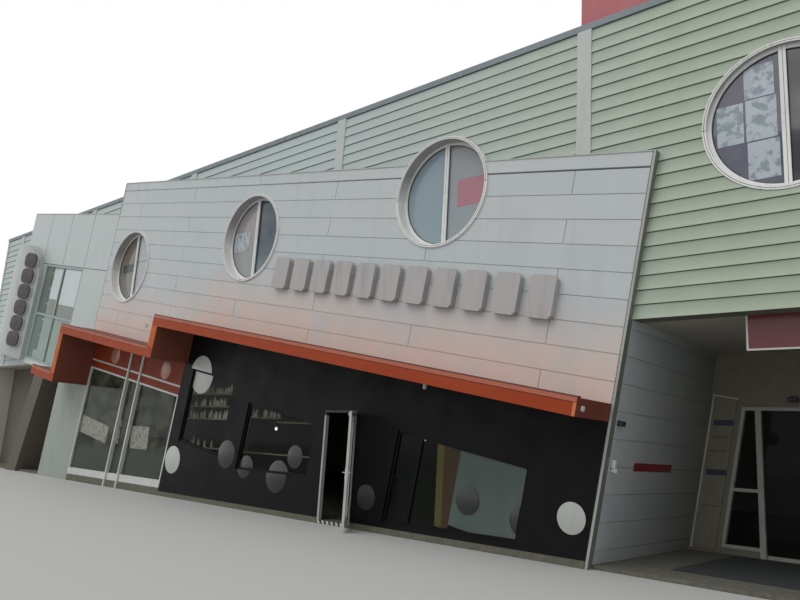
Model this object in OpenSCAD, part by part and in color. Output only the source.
// Two-storey supermarket with a leaning white front, a stepped canopy and round windows.
// X runs along the street front, Y goes into the building, Z is up.
// The origin lies on the ground under the middle of the front wall plane.
// Pieces of the leaning front are placed by s, the distance left of its top right corner
// along the sloping top edge, and by t, the distance down from that edge.

/* [Building] */
// Length of the street front
front_len = 37600; // [36600:100:39600]
// Depth from the street front to the rear wall
depth = 18000; // [15000:500:24000]
// Bay between pilasters
bay_w = 6000; // [5800:50:6100]
// Place of the first pilaster line, from the left end
first_line = 1500; // [1300:50:1700]
// Thickness of the outer walls
wall_t = 300; // [200:10:400]
// Height of the floor slab above the ground
slab_h = 60; // [40:5:100]
// Underside of the upper storey
soffit_z = 3660; // [3560:10:3760]
// Thickness of the upper floor
floor_t = 300; // [200:10:400]
// Top of the outer walls
wall_top = 8760; // [8600:20:9000]
// Height of the parapet above the roof
parapet_h = 460; // [300:10:600]
// Thickness of the roof slab
roof_t = 250; // [150:10:400]

/* [Trim] */
// Height of the coping
coping_h = 120; // [60:5:200]
// Width of the coping inside the wall's face
coping_in = 40; // [10:5:80]
// Width of a pilaster strip
pilaster_w = 260; // [150:10:400]
// Thickness of a pilaster strip, and overhang of the coping
pilaster_t = 40; // [30:2:60]
// Width of the corner strips
corner_w = 110; // [60:10:200]

/* [Leaning front] */
// Lean of the white front against the vertical
lean = 10; // [8:0.5:11]
// Place of its top right corner, from the left end of the building
pivot_from_end = 26720; // [26400:20:27000]
// Height of its top right corner
pivot_z = 6230; // [6100:10:6350]
// Length of its sloping top edge
cladding_len = 17250; // [17100:50:17400]
// Thickness of its panels
cladding_t = 90; // [60:5:120]
// Height of one panel course
course_h = 415; // [300:5:500]
// Height of the top course
first_course = 260; // [150:10:400]
// Length of one panel
panel_len = 5850; // [4000:50:8000]
// Place of the first butt joint in the top course, and in every second course below it
butt_s = 4200; // [3000:50:5000]
// Width of the joints between panels
joint_w = 14; // [8:1:25]
// Depth of the joints between panels
joint_d = 15; // [5:1:30]
// Width of the corner trim
trim_w = 50; // [30:5:80]
// Stand-out of the corner trim in front of the panels
trim_out = 12; // [5:1:30]

/* [Canopy] */
// Reach of the canopy in front of the wall plane
canopy_out = 1180; // [900:20:1400]
// Depth of the long band below the top edge
long_t = 3900; // [3800:10:4000]
// Depth of the short band below the top edge
short_t = 4700; // [4600:10:4750]
// Depth of the low band below the top edge
low_t = 6150; // [6050:10:6250]
// Height of the bands
band_h = 265; // [220:5:300]
// Width of the upright steps of the canopy
step_w = 260; // [200:5:300]
// Place of the step between the long and the short band
step_s = 11840; // [11700:20:11950]
// Distance of the left step's inner face from the left end of the panels
leg_in = 350; // [270:10:450]
// Length of the low band
low_len = 1700; // [1500:20:2000]

/* [Round windows] */
// Outer radius of a window ring
ring_r = 1100; // [1000:10:1180]
// Wall thickness of a window ring
ring_t = 55; // [40:5:100]
// Height of the window centres
ring_z = 6400; // [6300:10:6500]
// Stand-out of a ring in front of what it pierces
ring_out = 35; // [30:5:90]
// Distance of the first window centre right of the middle of its bay
ring_shift = 210; // [150:10:260]
// How much closer than the bays the windows stand to each other
ring_drift = 50; // [30:5:60]
// Distance of the round panes behind the wall plane
glass_in = 80; // [60:5:150]
// Width of the inner frame
sash_t = 55; // [30:5:80]
// Width of the centre bar
bar_w = 95; // [60:5:140]
// Number of bays at the left without a round window in the street front
blind_bays = 1; // [1:1:3]
// Thickness of the glass
glass_t = 12; // [6:1:24]
// Clearance round fitted pieces
seat_gap = 0.3; // [0.1:0.1:0.5]

/* [Left bay] */
// Width of one tall panel
tall_w = 1740; // [1650:10:1760]
// Number of tall panels
tall_count = 4; // [4:1:4]
// Top edge of the bay below the white top edge
bay_top_t = 1000; // [900:20:1150]
// Bottom edge of the bay below the white top edge
bay_low_t = 6415; // [6415:5:6500]
// Top edge of the bay window
bay_win_top_t = 2850; // [2750:10:2950]
// Cross bar of the bay window
bay_win_mid_t = 4600; // [4400:20:4800]
// Bottom edge of the bay window
bay_win_low_t = 6280; // [6100:20:6300]
// Distance of the bay window from the bay's right edge
bay_win_in = 1740; // [1700:10:1780]
// Width of the bay window
bay_win_w = 3120; // [2800:20:3120]
// Width of the bay window's bars
bay_bar_w = 80; // [60:5:120]
// Distance of the curved sign board from the bay's right edge
board_in = 4920; // [4910:10:5150]
// Width of the curved sign board
board_w = 2500; // [2400:50:2900]
// Top of the curved sign board below the white top edge
board_top_t = 2250; // [2150:20:2400]
// Height of the curved sign board
board_h = 4100; // [3900:20:4140]
// Thickness of the curved sign board at its middle
board_t = 420; // [300:10:500]
// Thickness of the curved sign board at its edges
board_edge_t = 150; // [100:10:200]

/* [Piers] */
// Width of the white pier
pier_w = 2050; // [1900:10:2200]
// Depth of the piers behind the wall plane
pier_depth = 900; // [700:20:1200]
// Stand-out of shop fronts and piers in front of the wall plane
front_out = 120; // [100:5:125]
// Distance of the brown leg's foot from the left end of the bay's lower edge
leg_from_bay = 2340; // [2200:10:2500]
// Width of the brown leg
leg_w = 830; // [700:10:1000]
// Lean of the brown leg against the vertical
leg_lean = 20; // [17:0.5:22]

/* [Left shop window] */
// Bottom edge of the sign band below the white top edge
band_low_t = 5810; // [5700:10:5900]
// Height of the base under the left shop window
shop_base_h = 190; // [120:5:260]
// Height of the white sill
sill_h = 140; // [80:5:200]
// Width of the window bars
shop_bar_w = 50; // [50:5:100]
// Right edge of the left shop window
shop_s = 11700; // [11650:10:11800]
// Place of the right post
post_s = 13780; // [13600:20:14200]
// Distance between the two posts
post_gap = 690; // [500:10:800]
// Width of the posts
post_w = 60; // [60:5:120]
// Stand-out of the posts in front of the sign band
post_out = 45; // [40:5:120]

/* [Cafe front] */
// Height of the concrete base under the black front
base_h = 110; // [90:5:130]
// Right edge of the right window
win_c_s = 1190; // [1100:10:1300]
// Width of the right window
win_c_w = 2860; // [2600:20:2950]
// Width of the narrow pane of the right window
win_c_side = 600; // [400:10:900]
// Top edge of the right window
win_c_t = 5120; // [5000:10:5200]
// Sill height of the right window
win_c_z = 210; // [180:5:300]
// Right edge of the middle window
win_b_s = 6300; // [6250:10:6400]
// Width of the middle window
win_b_w = 2400; // [2200:10:2500]
// Top edge of the middle window
win_b_t = 5450; // [5300:10:5600]
// Sill height of the middle window
win_b_z = 860; // [700:10:950]
// Right edge of the left window
win_a_s = 9400; // [9350:10:9500]
// Width of the left window
win_a_w = 1850; // [1700:10:1950]
// Top edge of the left window
win_a_t = 5050; // [5000:10:5150]
// Height of the left window along the lean
win_a_h = 1830; // [1600:10:1950]
// Width of the cafe window bars
cafe_bar_w = 50; // [30:5:70]
// Depth of the cafe window bars
cafe_bar_d = 60; // [40:5:70]

/* [Cafe door] */
// Left edge of the door opening, left of the white front's top right corner
door_from_corner = 6920; // [6880:10:6960]
// Width of the door opening
door_w = 930; // [860:10:960]
// Height of the door opening above the slab
door_h = 2170; // [2050:10:2200]
// Width of the fixed frame
jamb_w = 50; // [40:2:60]
// Thickness of the door leaf
leaf_t = 45; // [40:1:50]
// Width of the bars of the door leaf
stile_w = 75; // [60:5:100]
// Gap between the leaf and its frame
leaf_gap = 5; // [5:0.5:8]
// Angle at which the leaf stands open
open_angle = 132; // [100:1:140]
// Radius of the hinge barrels
hinge_r = 10; // [8:0.5:12]
// Height of a hinge barrel
hinge_h = 50; // [40:5:70]
// Height of the lower hinge above the slab
hinge_low = 250; // [150:10:400]
// Distance of the upper hinge below the top of the opening
hinge_high = 420; // [300:10:500]
// Thickness of the fixed frame
jamb_t = 80; // [60:5:100]
// Gap under the leaf
leaf_low_gap = 8; // [6:1:15]
// Height of the door handle above the slab
handle_z = 1000; // [900:10:1100]
// Length of the lever of the handle
lever_len = 125; // [100:5:150]
// Stand-out of the lever
lever_out = 55; // [45:1:70]
// Radius of the lever's neck
neck_r = 10; // [8:1:12]
// Length of the door closer
closer_len = 270; // [200:10:350]
// Height of the door closer
closer_h = 60; // [45:5:70]
// Depth of the door closer
closer_t = 45; // [35:5:60]

/* [Right entrance] */
// Depth of the entrance recess
recess_d = 3770; // [3500:10:4000]
// Thickness of the recess walls
recess_t = 200; // [150:10:250]
// Length of the recess, from the white front's top right corner
recess_len = 4780; // [4600:20:5000]
// Left edge of the entrance doors, from that corner
gate_in = 310; // [280:10:380]
// Width of the entrance doors
gate_w = 2600; // [2200:20:3000]
// Height of the entrance doors above the slab
gate_h = 2600; // [2400:10:2700]
// Width of the entrance frame
gate_frame_w = 95; // [60:5:120]
// Width of the bars of the entrance and its side light
gate_bar_w = 60; // [40:5:80]
// Stand-out of the entrance frame in front of the recess wall
gate_out = 20; // [10:5:40]
// Thickness of the entrance's inner bars
gate_leaf_t = 50; // [40:5:60]
// Leaning left edge of the side light, past the line of the right front edge
side_light_s = 620; // [600:10:700]
// Sill height of the side light above the slab
side_light_z = 110; // [60:5:200]
// Height of the side light's cross bar above the slab
side_bar_z = 1100; // [900:20:1300]
// Leaning left edge of the information board, past the line of the right front edge
info_s = 100; // [80:5:120]
// Height of the information board's foot above the slab
info_z = 60; // [20:5:150]
// Width of the information board
info_w = 430; // [350:10:470]
// Height of the information board
info_h = 2750; // [2500:20:2800]
// Thickness of the information board
info_t = 30; // [20:2:40]

/* [Signs] */
// Left end of the hanging sign, from the white front's top right corner
hang_in = 1110; // [1000:10:1300]
// Length of the hanging sign
hang_w = 2900; // [2400:50:3300]
// Height of the hanging sign
hang_h = 490; // [400:10:540]
// Thickness of the hanging sign
hang_t = 120; // [80:5:160]
// Left end of the roof sign, left of the white front's top right corner
roof_sign_in = 1340; // [1200:20:1500]
// Length of the roof sign
roof_sign_w = 3000; // [2500:50:3500]
// Height of the roof sign
roof_sign_h = 1200; // [900:50:1400]
// Thickness of the roof sign
roof_sign_t = 200; // [120:10:240]
// Distance of the roof sign behind the wall plane
roof_sign_y = 80; // [40:5:100]
// Number of blank sign plates on the white front
plate_count = 11; // [8:1:11]
// Distance between the plates
plate_pitch = 690; // [650:10:700]
// Width of a plate
plate_w = 500; // [400:10:600]
// Height of a plate
plate_h = 720; // [500:10:900]
// Thickness of a plate
plate_t = 130; // [60:5:160]
// Right edge of the first plate
plate_s = 1200; // [1000:20:1500]
// Top edge of the plates
plate_top_t = 2050; // [1950:10:2200]

/* [Hidden] */
$fn = 96;

// Longer than any piece, for cutters
far = 60000;
// Overrun of a cutter past the face that it opens
cut = 20;
half_len = front_len / 2;
roof_top = wall_top - parapet_h;
coping_z = wall_top + coping_h;
// Panel faces of the white front, in front of the pilaster strips
cladding_back_y = -pilaster_t;
cladding_y = cladding_back_y - cladding_t;
low_band_t = low_t + band_h;
pivot_x = pivot_from_end - half_len;
leg_s = cladding_len - leg_in;
low_end_s = leg_s + low_len;
bay_s0 = cladding_len;
bay_s1 = cladding_len + tall_count * tall_w;
bay_win_s = bay_s0 + bay_win_in;
board_s = bay_s0 + board_in;
pier_s1 = leg_s + pier_w;
leg_foot_x = pivot_x - bay_s1 * cos(lean) - bay_low_t * sin(lean) + leg_from_bay;
recess_x = pivot_x + recess_len;
gate_x = pivot_x + gate_in;
door_x = pivot_x - door_from_corner;
// Whole bays right of the first pilaster line
bays = floor((front_len - first_line) / bay_w);
door_x1 = door_x + door_w;
door_top = slab_h + door_h;
hinge_x = door_x1 - jamb_w - 1;
hinge_y = -front_out - hinge_r;
hinge_levels = [slab_h + hinge_low, slab_h + door_h - hinge_high];
gate_glass_y = recess_d + recess_t / 2 - gate_leaf_t / 2 - 10;

// The t at which the leaning line of one s crosses a height
function t_at(s, z) = (pivot_z + s * sin(lean) - z) / cos(lean);
// Pilaster lines and window centres
function line_x(k) = -half_len + first_line + k * bay_w;
function ring_x(k) = line_x(k) + bay_w / 2 + ring_shift - k * ring_drift;

// A flat shape drawn in X and Z, made into a plate from y0 to y1
module plate(y0, y1) {
  translate([0, y1, 0]) rotate([90, 0, 0]) linear_extrude(height = y1 - y0) children();
}

module upright(x0, x1, z0, z1) {
  translate([x0, z0]) square([x1 - x0, z1 - z0]);
}

module lean_frame() {
  translate([pivot_x, pivot_z]) rotate(-lean) children();
}

module slanted(s0, s1, t0, t1) {
  lean_frame() translate([-s1, -t1]) square([s1 - s0, t1 - t0]);
}

// A leaning strip from depth t0 down to the height z
module slanted_to(s0, s1, t0, z) {
  intersection() {
    slanted(s0, s1, t0, far);
    upright(-far, far, z, far);
  }
}

// A bar frame of width w inside an outline
module slanted_frame(s0, s1, t0, t1, w) {
  difference() {
    slanted(s0, s1, t0, t1);
    slanted(s0 + w, s1 - w, t0 + w, t1 - w);
  }
}

module slanted_frame_to(s0, s1, t0, z, w) {
  difference() {
    slanted_to(s0, s1, t0, z);
    slanted_to(s0 + w, s1 - w, t0 + w, z + w);
  }
}

module box(x0, x1, y0, y1, z0, z1) {
  translate([x0, y0, z0]) cube([x1 - x0, y1 - y0, z1 - z0]);
}

module round_hole(x, r, y0, y1) {
  translate([x, y1, ring_z]) rotate([90, 0, 0]) cylinder(h = y1 - y0, r = r);
}

module front_round_holes(y0, y1) {
  for (k = [blind_bays : bays - 1]) round_hole(ring_x(k), ring_r + seat_gap, y0, y1);
}

// Shell of the building

module floor_slab() {
  color("darkgray") box(-half_len, half_len, 0, depth, 0, slab_h);
}

module upper_floor() {
  color("gainsboro")
    box(-half_len + wall_t, half_len - wall_t, wall_t, depth - wall_t, soffit_z, soffit_z + floor_t);
}

module roof_slab() {
  color("slategray")
    box(-half_len + wall_t, half_len - wall_t, wall_t, depth - wall_t, roof_top - roof_t, roof_top);
}

module front_wall_upper() {
  color("darkseagreen") difference() {
    box(-half_len + wall_t, half_len - wall_t, 0, wall_t, soffit_z, wall_top);
    front_round_holes(-cut, wall_t + cut);
    plate(-cut, wall_t + cut)
      slanted(bay_win_s, bay_win_s + bay_win_w, bay_win_top_t, bay_win_low_t);
  }
}

module rear_wall() {
  color("darkseagreen") difference() {
    box(-half_len + wall_t, half_len - wall_t, depth - wall_t, depth, slab_h, wall_top);
    for (k = [0 : bays - 1])
      round_hole(ring_x(k), ring_r + seat_gap, depth - wall_t - cut, depth + cut);
  }
}

module end_wall() {
  color("darkseagreen") box(0, wall_t, 0, depth, slab_h, wall_top);
}

module left_wall() translate([-half_len, 0, 0]) end_wall();

module right_wall() translate([half_len - wall_t, 0, 0]) end_wall();

module front_wall_left() {
  color("lightgray") plate(pier_depth, pier_depth + wall_t) difference() {
    upright(-half_len + wall_t, 0, slab_h, soffit_z);
    slanted(-far, pier_s1, -far, far);
  }
}

module front_wall_right() {
  color("whitesmoke") box(recess_x, half_len - wall_t, 0, wall_t, slab_h, soffit_z);
}

// Wall between the long canopy band and the upper storey
module lintel_wall() {
  color("gainsboro") plate(0, wall_t) intersection() {
    slanted(recess_t - trim_w, far, -far, long_t + band_h);
    upright(-far, far, slab_h, soffit_z);
  }
}

// One solid for each side, with open joints at the corners
module coping() {
  x = half_len + pilaster_t;
  inner = wall_t + coping_in;
  gap = 2;
  color("lightslategray") {
    box(-x, x, -pilaster_t, inner, wall_top, coping_z);
    box(-x, x, depth - inner, depth + pilaster_t, wall_top, coping_z);
    for (side = [-1, 1]) {
      x0 = side > 0 ? half_len - inner : -x;
      box(x0, x0 + inner + pilaster_t, inner + gap, depth - inner - gap, wall_top, coping_z);
    }
  }
}

// Strips on the pilaster lines and at the corners, front and rear
module pilasters() {
  color("silver") difference() {
    for (y = [-pilaster_t, depth]) {
      for (k = [0 : bays - 1])
        box(line_x(k) - pilaster_w / 2, line_x(k) + pilaster_w / 2, y, y + pilaster_t, soffit_z,
            wall_top);
      box(-half_len, -half_len + corner_w, y, y + pilaster_t, soffit_z, wall_top);
      box(half_len - corner_w, half_len, y, y + pilaster_t, soffit_z, wall_top);
    }
    plate(-pilaster_t - cut, 0)
      slanted(step_s - step_w - seat_gap, leg_s + step_w, short_t - seat_gap, far);
  }
}

// Leaning white front

module cladding_outline() {
  slanted(0, cladding_len, 0, long_t);
  slanted(step_s, cladding_len, 0, short_t);
}

module white_cladding() {
  courses = floor((short_t - first_course) / course_h);
  color("whitesmoke") difference() {
    plate(cladding_y, cladding_back_y) cladding_outline();
    front_round_holes(cladding_y - cut, cladding_back_y + cut);
    plate(cladding_y - cut, cladding_y + joint_d) {
      for (k = [0 : courses])
        slanted(-cut, cladding_len + cut, first_course + k * course_h - joint_w, first_course + k * course_h);
      for (k = [0 : courses], s = [butt_s - (k % 2) * panel_len / 2 : panel_len : cladding_len - joint_w])
        slanted(s, s + joint_w, k == 0 ? -cut : first_course + (k - 1) * course_h,
                first_course + k * course_h - joint_w / 2);
    }
  }
}

// Angle trim on the leaning right edge, from the top down to the ground
module corner_trim() {
  color("silver") plate(cladding_y - trim_out, 0) slanted_to(-trim_w, 0, -trim_out, 0);
}

module recess_side_wall() {
  courses = ceil(t_at(0, 0) / course_h);
  color("whitesmoke") difference() {
    plate(0, recess_d + recess_t) intersection() {
      slanted(-trim_w, recess_t - trim_w, -far, far);
      upright(-far, far, slab_h, soffit_z);
    }
    plate(cut, recess_d) for (k = [0 : courses])
      slanted(-trim_w - cut, joint_d - trim_w, first_course + k * course_h - joint_w,
              first_course + k * course_h);
  }
}

module recess_end_wall() {
  color("whitesmoke") box(recess_x, recess_x + recess_t, wall_t, recess_d + recess_t, slab_h, soffit_z);
}

module entrance_hole() {
  upright(gate_x - gate_frame_w, gate_x + gate_w + gate_frame_w, slab_h - cut, slab_h + gate_h);
  intersection() {
    slanted(-far, -side_light_s, -far, far);
    upright(0, gate_x, slab_h + side_light_z, slab_h + gate_h);
  }
}

module recess_back_wall() {
  color("gainsboro") plate(recess_d, recess_d + recess_t) difference() {
    upright(0, recess_x, slab_h, soffit_z);
    slanted(-trim_w, far, -far, far);
    entrance_hole();
  }
}

// Canopy: one folded band of five pieces

module canopy_piece(s0, s1, t0, t1) {
  color("orangered") plate(-canopy_out, cladding_back_y) slanted(s0, s1, t0, t1);
}

module canopy_long() canopy_piece(0, step_s, long_t, long_t + band_h);

module canopy_step() canopy_piece(step_s - step_w, step_s, long_t + band_h, short_t);

module canopy_short() canopy_piece(step_s - step_w, leg_s + step_w, short_t, short_t + band_h);

module canopy_leg() canopy_piece(leg_s, leg_s + step_w, short_t + band_h, low_t);

module canopy_low() canopy_piece(leg_s, low_end_s, low_t, low_band_t);

// Left end of the front

module sign_band() {
  color("orangered") plate(-front_out, 0) slanted(shop_s, leg_s, short_t + band_h, band_low_t);
}

module shop_window_frame() {
  color("white") {
    plate(-front_out, 0) {
      slanted_frame_to(shop_s, leg_s, band_low_t, shop_base_h + sill_h, shop_bar_w);
      intersection() {
        slanted(shop_s, leg_s, band_low_t, far);
        upright(-far, far, shop_base_h, shop_base_h + sill_h);
      }
      for (s = [post_s, post_s + post_gap])
        slanted_to(s, s + post_w, band_low_t, shop_base_h);
    }
    plate(-front_out - post_out, -front_out) for (s = [post_s, post_s + post_gap])
      slanted_to(s, s + post_w, short_t + band_h, 0);
  }
}

module white_pier() {
  color("white") {
    plate(-front_out, 0) slanted_to(leg_s, pier_s1, low_band_t, 0);
    plate(0, pier_depth + wall_t) intersection() {
      slanted(leg_s, pier_s1, -far, far);
      upright(-far, far, slab_h, soffit_z);
    }
  }
}

module leg_outline() {
  run = soffit_z * tan(leg_lean);
  polygon([
    [leg_foot_x - leg_w / 2, 0], [leg_foot_x + leg_w / 2, 0],
    [leg_foot_x + leg_w / 2 + run, soffit_z], [leg_foot_x - leg_w / 2 + run, soffit_z]
  ]);
}

module leaning_leg() {
  color("rosybrown") {
    plate(-front_out, 0) difference() {
      leg_outline();
      slanted(-far, far, -far, bay_low_t);
    }
    plate(0, pier_depth) intersection() {
      leg_outline();
      upright(-far, far, slab_h, soffit_z);
    }
  }
}

module bay_outline() {
  slanted(bay_s0, bay_s1, bay_top_t, low_t);
  slanted(leg_s + step_w, bay_s1, short_t, low_t);
  slanted(low_end_s, bay_s1, low_t, bay_low_t);
}

module bay_panels() {
  color("lightsteelblue") difference() {
    plate(cladding_y, cladding_back_y) difference() {
      bay_outline();
      slanted(bay_win_s, bay_win_s + bay_win_w, bay_win_top_t, bay_win_low_t);
    }
    front_round_holes(cladding_y - cut, cladding_back_y + cut);
    plate(cladding_y - cut, cladding_y + joint_d) {
      for (k = [1 : tall_count - 1])
        slanted(bay_s0 + k * tall_w, bay_s0 + k * tall_w + joint_w, bay_top_t - cut, bay_low_t + cut);
      slanted(bay_s0 - cut, bay_s1 + cut, bay_win_top_t - joint_w, bay_win_top_t);
    }
  }
}

// Bars of the bay window, in two columns and two rows
module bay_window_frame() {
  s1 = bay_win_s + bay_win_w;
  s_mid = bay_win_s + bay_win_w / 2 - bay_bar_w / 2;
  color("lightgray") plate(cladding_y, cladding_back_y) {
    slanted_frame(bay_win_s, s1, bay_win_top_t, bay_win_low_t, bay_bar_w);
    slanted(s_mid, s_mid + bay_bar_w, bay_win_top_t, bay_win_low_t);
    slanted(bay_win_s, s1, bay_win_mid_t, bay_win_mid_t + bay_bar_w);
  }
}

// Board with a round head and a front that bulges as a part of a cylinder
module curved_sign_board() {
  rise = board_t - board_edge_t;
  bulge_r = (pow(board_w / 2, 2) + pow(rise, 2)) / (2 * rise);
  mid_s = board_s + board_w / 2;
  head_r = board_w / 2;
  color("whitesmoke") translate([pivot_x, 0, pivot_z]) rotate([0, lean, 0])
    translate([-mid_s, cladding_y, -board_top_t]) intersection() {
      union() {
        translate([-board_w / 2, -board_t, -board_h])
          cube([board_w, board_t, board_h - head_r]);
        translate([0, 0, -head_r]) rotate([90, 0, 0]) cylinder(h = board_t, r = head_r);
      }
      translate([0, bulge_r - board_t, -board_h - cut]) cylinder(h = board_h + 2 * cut, r = bulge_r, $fn = 192);
    }
}

// Cafe front

module cafe_outline() {
  difference() {
    slanted_to(0, shop_s, long_t + band_h, base_h);
    slanted(step_s - step_w, far, -far, short_t + band_h);
  }
}

module window_a(grow) {
  slanted(win_a_s + grow, win_a_s + win_a_w - grow, win_a_t + grow, win_a_t + win_a_h - grow);
}

module window_b(grow) {
  slanted_to(win_b_s + grow, win_b_s + win_b_w - grow, win_b_t + grow, win_b_z + grow);
}

module window_c(grow) {
  slanted_to(win_c_s + grow, win_c_s + win_c_w - grow, win_c_t + grow, win_c_z + grow);
}

module cafe_front_left() {
  color("dimgray") plate(-front_out, 0) difference() {
    intersection() {
      cafe_outline();
      upright(-far, door_x, 0, far);
    }
    window_a(0);
    window_b(0);
  }
}

module cafe_front_right() {
  color("dimgray") plate(-front_out, 0) difference() {
    intersection() {
      cafe_outline();
      upright(door_x1, far, 0, far);
    }
    window_c(0);
  }
}

module cafe_door_head() {
  color("dimgray") plate(-front_out, 0) intersection() {
    cafe_outline();
    upright(door_x, door_x1, door_top, far);
  }
}

module side_bar() {
  slanted_to(win_c_s + win_c_w - win_c_side, win_c_s + win_c_w - win_c_side + cafe_bar_w, win_c_t, win_c_z);
}

module cafe_window_frames() {
  y = -front_out / 2;
  color("black") plate(y - cafe_bar_d / 2, y + cafe_bar_d / 2) {
    difference() {
      window_a(0);
      window_a(cafe_bar_w);
    }
    difference() {
      window_b(0);
      window_b(cafe_bar_w);
    }
    difference() {
      window_c(0);
      window_c(cafe_bar_w);
    }
    side_bar();
  }
}

// Concrete base strips under the shop fronts, and the threshold of the cafe door
module plinth() {
  color("darkgray") {
    plate(-front_out, 0) {
      intersection() {
        slanted(0, shop_s, -far, far);
        union() {
          upright(-far, door_x, 0, base_h);
          upright(door_x1, far, 0, base_h);
          upright(door_x, door_x1, 0, slab_h);
        }
      }
      intersection() {
        slanted(shop_s, leg_s, -far, far);
        upright(-far, far, 0, shop_base_h);
      }
    }
  }
}

// Cafe door

module cafe_door_frame() {
  y0 = -front_out + jamb_back;
  color("silver") {
    plate(y0, y0 + jamb_t) difference() {
      upright(door_x, door_x1, slab_h, door_top);
      upright(door_x + jamb_w, door_x1 - jamb_w, slab_h - cut, door_top - jamb_w);
    }
    for (z = hinge_levels) translate([hinge_x, hinge_y, z + hinge_h + seat_gap]) {
      cylinder(h = hinge_h, r = hinge_r);
      cube([hinge_r + hinge_lap, hinge_r + jamb_back, hinge_h]);
    }
  }
}

// Turns a piece of the closed leaf to where it stands open
module swung() {
  translate([hinge_x, hinge_y, 0]) rotate([0, 0, open_angle]) translate([-hinge_x, -hinge_y, 0])
    children();
}

// Setback of the fixed frame, and reach of a hinge plate onto it
jamb_back = 5;
hinge_lap = 12;
leaf_x0 = door_x + jamb_w + leaf_gap;
leaf_x1 = door_x1 - jamb_w - leaf_gap;
leaf_z0 = slab_h + leaf_low_gap;
leaf_z1 = door_top - jamb_w - leaf_gap;
leaf_y0 = -front_out - 5;

module cafe_door_leaf() {
  notch = hinge_r + 5;
  color("white") swung() difference() {
    union() {
      plate(leaf_y0, leaf_y0 + leaf_t) difference() {
        upright(leaf_x0, leaf_x1, leaf_z0, leaf_z1);
        upright(leaf_x0 + stile_w, leaf_x1 - stile_w, leaf_z0 + 2 * stile_w, leaf_z1 - stile_w);
      }
      for (z = hinge_levels) translate([hinge_x, hinge_y, z]) cylinder(h = hinge_h, r = hinge_r);
    }
    for (z = hinge_levels)
      box(hinge_x - notch, hinge_x + notch, hinge_y - notch, hinge_y + notch + 5, z + hinge_h,
          z + 2 * hinge_h + 10);
  }
}

module cafe_door_glass() {
  y = leaf_y0 + leaf_t / 2;
  color("lightblue") swung() plate(y - glass_t / 2, y + glass_t / 2)
    upright(leaf_x0 + stile_w, leaf_x1 - stile_w, leaf_z0 + 2 * stile_w, leaf_z1 - stile_w);
}

// Lever handles on both faces and the closer on the inner face
module cafe_door_fittings() {
  x = leaf_x0 + stile_w / 2;
  z = slab_h + handle_z;
  rose_w = 40;
  rose_t = 8;
  lever_t = 18;
  closer_x1 = leaf_x1 - 2 * stile_w;
  color("gainsboro") swung() {
    for (out = [-1, 1]) {
      face = out < 0 ? leaf_y0 : leaf_y0 + leaf_t;
      y_rose = out < 0 ? face - rose_t : face;
      y_bar = out < 0 ? face - lever_out : face + lever_out - lever_t;
      box(x - rose_w / 2, x + rose_w / 2, y_rose, y_rose + rose_t, z - 3 * rose_w, z + 2 * rose_w);
      translate([x, face, z]) rotate([-90 * out, 0, 0]) cylinder(h = lever_out, r = neck_r);
      box(x - neck_r, x + lever_len, y_bar, y_bar + lever_t, z - lever_t / 2, z + lever_t / 2);
    }
    box(closer_x1 - closer_len, closer_x1, leaf_y0 + leaf_t, leaf_y0 + leaf_t + closer_t,
        leaf_z1 - closer_h - 10, leaf_z1 - 10);
  }
}

// Right entrance

module entrance_frame() {
  x0 = gate_x - gate_frame_w;
  x1 = gate_x + gate_w + gate_frame_w;
  top = slab_h + gate_h;
  w = gate_bar_w;
  mid = gate_x + gate_w / 2;
  color("white") {
    plate(recess_d - gate_out, recess_d + recess_t / 2) {
      difference() {
        upright(x0, x1, slab_h, top);
        upright(gate_x, gate_x + gate_w, slab_h - cut, top - w);
      }
      difference() {
        intersection() {
          slanted(-far, -side_light_s, -far, far);
          upright(0, x0, slab_h + side_light_z, top);
        }
        side_light_pane();
      }
    }
    plate(gate_glass_y - gate_leaf_t / 2, gate_glass_y + gate_leaf_t / 2) {
      upright(gate_x, gate_x + gate_w, slab_h, slab_h + w);
      upright(mid - w, mid + w, slab_h + w, top - w);
    }
  }
}

module side_light_pane() {
  x0 = gate_x - gate_frame_w;
  w = gate_bar_w;
  intersection() {
    slanted(-far, -side_light_s - w, -far, far);
    union() {
      upright(0, x0, slab_h + side_light_z + w, slab_h + side_bar_z);
      upright(0, x0, slab_h + side_bar_z + w, slab_h + gate_h - w);
    }
  }
}

module info_board() {
  z0 = slab_h + info_z;
  color("lightgray") plate(recess_d - info_t, recess_d) intersection() {
    slanted(-info_s - info_w, -info_s, -far, far);
    upright(-far, far, z0, z0 + info_h);
  }
}

// Round windows

module ring(x, y0, y1, y_glass, out) {
  translate([x, 0, ring_z]) rotate([90, 0, 0]) {
    translate([0, 0, -y1]) difference() {
      cylinder(h = y1 - y0, r = ring_r);
      translate([0, 0, -cut]) cylinder(h = y1 - y0 + 2 * cut, r = ring_r - ring_t);
    }
    translate([0, 0, -y_glass - glass_t - 30]) difference() {
      cylinder(h = glass_t + 60, r = ring_r - ring_t);
      translate([0, 0, -cut]) cylinder(h = glass_t + 60 + 2 * cut, r = ring_r - ring_t - sash_t);
    }
  }
  r = ring_r - ring_t - 5;
  y_bar = out < 0 ? y_glass - 50 : y_glass + glass_t;
  box(x - bar_w / 2, x + bar_w / 2, y_bar, y_bar + 50, ring_z - r, ring_z + r);
}

module porthole_frames() {
  color("white") {
    for (k = [blind_bays : bays - 1]) {
      behind = ring_x(k) - ring_r < pivot_x;
      face = behind ? cladding_y : 0;
      ring(ring_x(k), face - ring_out, wall_t, glass_in, -1);
    }
    for (k = [0 : bays - 1])
      ring(ring_x(k), depth - wall_t, depth + ring_out, depth - glass_in - glass_t, 1);
  }
}

module pane(x, y) {
  round_hole(x, ring_r - ring_t - sash_t - seat_gap, y, y + glass_t);
}

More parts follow.
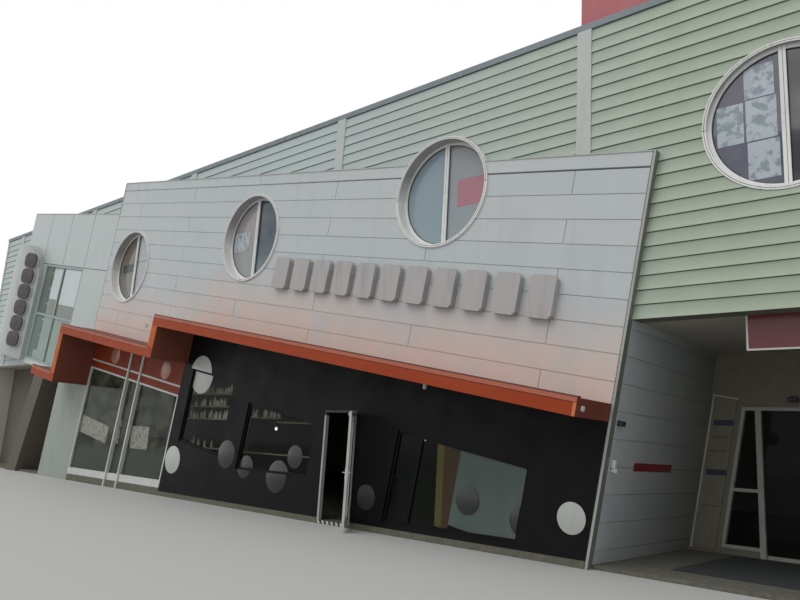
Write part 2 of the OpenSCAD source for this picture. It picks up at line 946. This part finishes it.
module upper_glass() {
  y = (cladding_y + cladding_back_y) / 2;
  s_mid = bay_win_s + bay_win_w / 2;
  color("lightblue") {
    for (k = [blind_bays : bays - 1]) pane(ring_x(k), glass_in);
    for (k = [0 : bays - 1]) pane(ring_x(k), depth - glass_in - glass_t);
    plate(y - glass_t / 2, y + glass_t / 2) difference() {
      slanted(bay_win_s + bay_bar_w, bay_win_s + bay_win_w - bay_bar_w,
              bay_win_top_t + bay_bar_w, bay_win_low_t - bay_bar_w);
      slanted(s_mid - bay_bar_w / 2, s_mid + bay_bar_w / 2, 0, far);
      slanted(0, far, bay_win_mid_t, bay_win_mid_t + bay_bar_w);
    }
  }
}

module ground_glass() {
  y = -front_out / 2;
  w = gate_bar_w;
  mid = gate_x + gate_w / 2;
  color("lightblue") {
    plate(y - glass_t / 2, y + glass_t / 2) {
      window_a(cafe_bar_w);
      window_b(cafe_bar_w);
      difference() {
        window_c(cafe_bar_w);
        side_bar();
      }
      difference() {
        slanted_to(shop_s + shop_bar_w, leg_s - shop_bar_w, band_low_t + shop_bar_w,
                   shop_base_h + sill_h + shop_bar_w);
        for (s = [post_s, post_s + post_gap]) slanted(s, s + post_w, 0, far);
      }
    }
    plate(gate_glass_y - glass_t / 2, gate_glass_y + glass_t / 2) {
      side_light_pane();
      upright(gate_x, mid - w, slab_h + w, slab_h + gate_h - w);
      upright(mid + w, gate_x + gate_w, slab_h + w, slab_h + gate_h - w);
    }
  }
}

// Signs

// The hanging sign of the entrance and the sign that stands on the coping
module sign_boxes() {
  hang_x = pivot_x + hang_in;
  roof_x = pivot_x - roof_sign_in;
  color("firebrick") {
    box(hang_x, hang_x + hang_w, wall_t, wall_t + hang_t, soffit_z - hang_h, soffit_z);
    box(roof_x, roof_x + roof_sign_w, roof_sign_y, roof_sign_y + roof_sign_t, coping_z,
        coping_z + roof_sign_h);
  }
}

// Blank raised plates with cut corners
module sign_plates() {
  c = 60;
  color("darkgray") plate(cladding_y - plate_t, cladding_y) lean_frame()
    for (k = [0 : plate_count - 1]) translate([-plate_s - k * plate_pitch - plate_w, -plate_top_t - plate_h])
      polygon([[c, 0], [plate_w - c, 0], [plate_w, c], [plate_w, plate_h - c],
               [plate_w - c, plate_h], [c, plate_h], [0, plate_h - c], [0, c]]);
}

floor_slab();
plinth();
upper_floor();
roof_slab();
front_wall_upper();
rear_wall();
left_wall();
right_wall();
front_wall_left();
front_wall_right();
lintel_wall();
recess_side_wall();
recess_end_wall();
recess_back_wall();
coping();
pilasters();
white_cladding();
corner_trim();
canopy_long();
canopy_step();
canopy_short();
canopy_leg();
canopy_low();
sign_band();
shop_window_frame();
white_pier();
leaning_leg();
bay_panels();
bay_window_frame();
curved_sign_board();
sign_boxes();
info_board();
entrance_frame();
cafe_front_left();
cafe_front_right();
cafe_door_head();
cafe_window_frames();
cafe_door_frame();
cafe_door_leaf();
cafe_door_glass();
cafe_door_fittings();
porthole_frames();
upper_glass();
ground_glass();
sign_plates();
